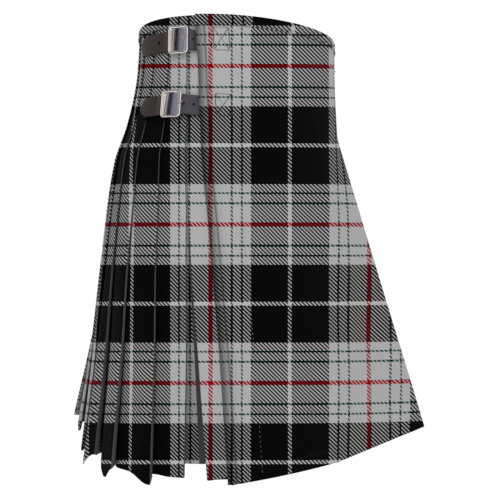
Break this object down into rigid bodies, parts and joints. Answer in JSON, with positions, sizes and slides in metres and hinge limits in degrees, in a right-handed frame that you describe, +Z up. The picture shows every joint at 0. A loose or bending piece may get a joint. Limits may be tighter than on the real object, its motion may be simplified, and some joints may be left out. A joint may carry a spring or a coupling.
{
  "type": "scottish kilt",
  "caption": "Worn tartan kilt, hollow inside: flat crossed aprons in front, knife pleats round the back, leather straps fastened in buckles at the hips.",
  "frame": {"origin": "centre of the waist opening, at the height of the upper straps, 30 mm below the top edge", "axes": "+Z up, -Y the way the wearer faces (the aprons), +X towards the wearer's left hip"},
  "size_m": [0.4838, 0.4723, 0.6031],
  "materials": {
    "tartan": "twill-woven kilting wool in a light grey, black, white, green and red check",
    "leather": "smooth dark brown strap leather, edges dyed",
    "metal": "polished chrome plate"
  },
  "bodies": {
    "root": {"over_apron": "tartan", "pleats_right": "tartan", "pleats_left": "tartan", "under_apron": "tartan", "waistband": "tartan", "chape_right_upper": "leather", "strap_right_upper": "leather", "chape_right_lower": "leather", "strap_right_lower": "leather", "chape_left": "leather", "strap_left": "leather", "buckle_right_upper": "metal", "plate_right_upper": "metal", "prong_right_upper": "metal", "buckle_right_lower": "metal", "plate_right_lower": "metal", "prong_right_lower": "metal", "buckle_left": "metal", "plate_left": "metal", "prong_left": "metal"}
  },
  "joints": []
}
